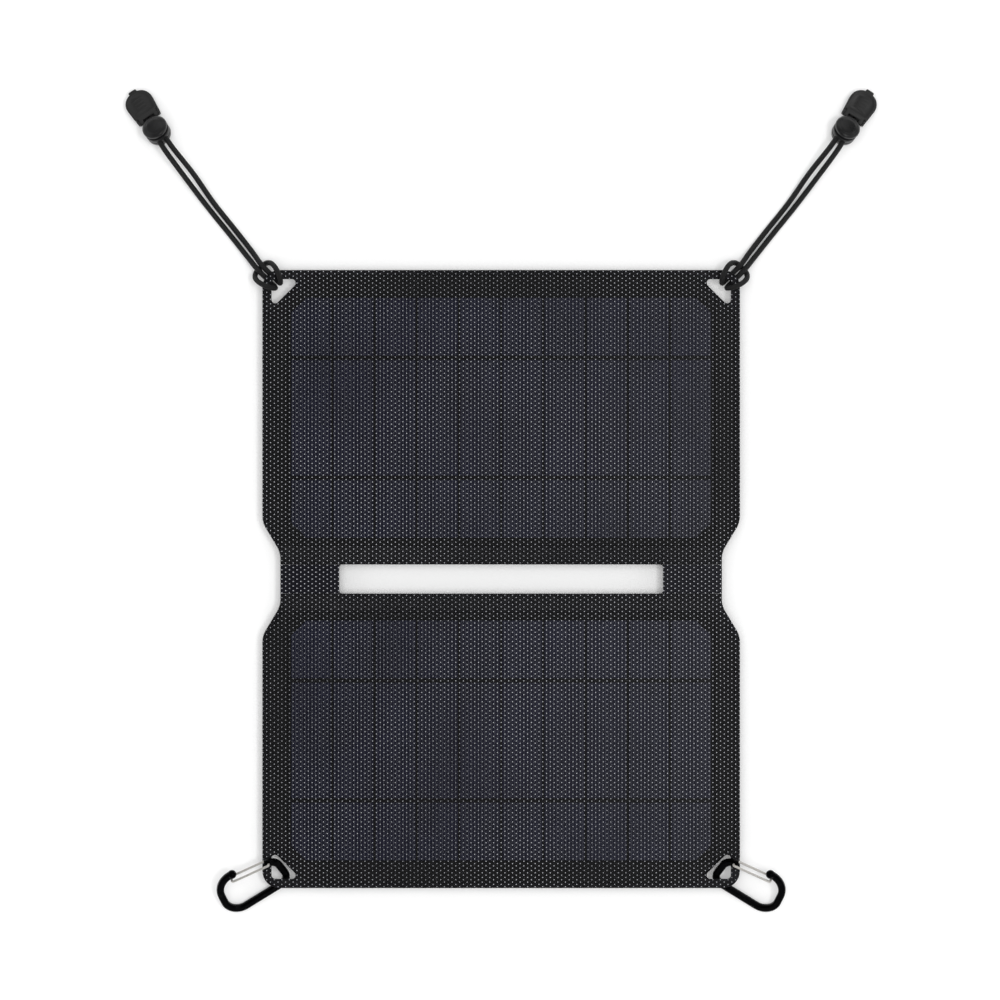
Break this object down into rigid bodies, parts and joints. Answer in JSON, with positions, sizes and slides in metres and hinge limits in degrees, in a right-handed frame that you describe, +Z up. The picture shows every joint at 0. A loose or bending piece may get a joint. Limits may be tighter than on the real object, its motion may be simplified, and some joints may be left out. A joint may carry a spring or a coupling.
{
  "type": "solar panel",
  "caption": "Folding solar panel: laminated cell halves joined by a soft fold with a centre slot, USB box on the back, elastic corner cords and carabiners.",
  "frame": {"origin": "on the ground, under the middle of the sheet and carabiners, cords left out", "axes": "+Z up out of the cells' face, +Y towards the cord end, +X to the right seen from above"},
  "size_m": [0.3924, 0.4303, 0.0159],
  "materials": {
    "film": "textured clear film over black",
    "cell": "dark blue silicon",
    "ribbon": "darkened tinned copper",
    "board": "black glass-fibre sheet",
    "back_fabric": "tight black weave, coated",
    "fold_fabric": "film over fabric",
    "box_plastic": "fine moulded grain",
    "circuit": "solder mask",
    "steel": "bright",
    "rubber": "matt",
    "light": "clear green",
    "cord": "braided elastic",
    "lock_plastic": "semi-gloss moulded",
    "clip_plastic": "fine moulded grain",
    "anodised": "black anodised, polished",
    "gate_wire": "bright wire"
  },
  "bodies": {
    "lower_panel": {"lower_front_film": "film", "lower_cell_01": "cell", "lower_cell_02": "cell", "lower_cell_03": "cell", "lower_cell_04": "cell", "lower_cell_05": "cell", "lower_cell_06": "cell", "lower_cell_07": "cell", "lower_cell_08": "cell", "lower_cell_09": "cell", "lower_cell_10": "cell", "lower_inner_ribbon": "ribbon", "lower_outer_ribbon": "ribbon", "lower_board": "board", "lower_back_fabric": "back_fabric", "left_fold_strip": "fold_fabric", "right_fold_strip": "fold_fabric", "fold_lead": "ribbon"},
    "upper_panel": {"upper_front_film": "film", "upper_cell_01": "cell", "upper_cell_02": "cell", "upper_cell_03": "cell", "upper_cell_04": "cell", "upper_cell_05": "cell", "upper_cell_06": "cell", "upper_cell_07": "cell", "upper_cell_08": "cell", "upper_cell_09": "cell", "upper_cell_10": "cell", "upper_inner_ribbon": "ribbon", "upper_outer_ribbon": "ribbon", "upper_board": "board", "upper_back_fabric": "back_fabric", "box_base": "box_plastic", "box_cover": "box_plastic", "circuit_board": "circuit", "usb_socket": "steel", "indicator_light": "light", "left_cord": "cord", "left_clip_base": "clip_plastic", "right_cord": "cord", "right_clip_base": "clip_plastic"},
    "port_flap": {"port_flap": "rubber"},
    "left_lock": {"left_lock_body": "lock_plastic", "left_lock_spring": "steel"},
    "left_lock_button": {"left_lock_button": "lock_plastic"},
    "left_clip_lid": {"left_clip_lid": "clip_plastic"},
    "left_carabiner": {"left_carabiner_frame": "anodised"},
    "left_gate": {"left_carabiner_gate": "gate_wire"},
    "right_lock": {"right_lock_body": "lock_plastic", "right_lock_spring": "steel"},
    "right_lock_button": {"right_lock_button": "lock_plastic"},
    "right_clip_lid": {"right_clip_lid": "clip_plastic"},
    "right_carabiner": {"right_carabiner_frame": "anodised"},
    "right_gate": {"right_carabiner_gate": "gate_wire"}
  },
  "joints": [
    {"name": "fold", "type": "hinge", "parent": "lower_panel", "child": "upper_panel", "pos_m": [0, 0.00662, 0.01125], "axis": [1, 0, 0], "range_deg": [-125, 168], "deforming": ["left_fold_strip", "right_fold_strip", "fold_lead"]},
    {"name": "port_flap_swing", "type": "hinge", "parent": "upper_panel", "child": "port_flap", "pos_m": [0.0103, 0.02162, 0.00345], "axis": [0, 0, 1], "range_deg": [0, 110]},
    {"name": "left_lock_slide", "type": "slide", "parent": "upper_panel", "child": "left_lock", "axis": [0.4701, -0.7273, 0.5], "range_m": [0, 0.006], "deforming": ["left_cord"]},
    {"name": "left_button_press", "type": "slide", "parent": "left_lock", "child": "left_lock_button", "axis": [0.2714, -0.4199, -0.866], "range_m": [0, 0.0016], "stiffness_N_per_m": 400, "springref_m": -0.001, "deforming": ["left_lock_spring"]},
    {"name": "left_clip_open", "type": "hinge", "parent": "upper_panel", "child": "left_clip_lid", "pos_m": [-0.18421, 0.24778, 0.0044], "axis": [0.8398, 0.5429, 0], "range_deg": [0, 80]},
    {"name": "left_carabiner_swing", "type": "hinge", "parent": "lower_panel", "child": "left_carabiner", "pos_m": [-0.1136, -0.14508, 0.00892], "axis": [0, 0, 1], "range_deg": [-12, 12]},
    {"name": "left_gate_swing", "type": "hinge", "parent": "left_carabiner", "child": "left_gate", "pos_m": [-0.12119, -0.14083, 0.0134], "axis": [0.202, -0.516, 0.8324], "range_deg": [0, 22], "stiffness_Nm_per_rad": 0.02, "springref_deg": -11.46},
    {"name": "right_lock_slide", "type": "slide", "parent": "upper_panel", "child": "right_lock", "axis": [-0.4701, -0.7273, 0.5], "range_m": [0, 0.006], "deforming": ["right_cord"]},
    {"name": "right_button_press", "type": "slide", "parent": "right_lock", "child": "right_lock_button", "axis": [-0.2714, -0.4199, -0.866], "range_m": [0, 0.0016], "stiffness_N_per_m": 400, "springref_m": -0.001, "deforming": ["right_lock_spring"]},
    {"name": "right_clip_open", "type": "hinge", "parent": "upper_panel", "child": "right_clip_lid", "pos_m": [0.18421, 0.24778, 0.0044], "axis": [0.8398, -0.5429, 0], "range_deg": [0, 80]},
    {"name": "right_carabiner_swing", "type": "hinge", "parent": "lower_panel", "child": "right_carabiner", "pos_m": [0.1136, -0.14508, 0.00892], "axis": [0, 0, 1], "range_deg": [-12, 12]},
    {"name": "right_gate_swing", "type": "hinge", "parent": "right_carabiner", "child": "right_gate", "pos_m": [0.12119, -0.14083, 0.0134], "axis": [0.202, 0.516, -0.8324], "range_deg": [0, 22], "stiffness_Nm_per_rad": 0.02, "springref_deg": -11.46}
  ]
}
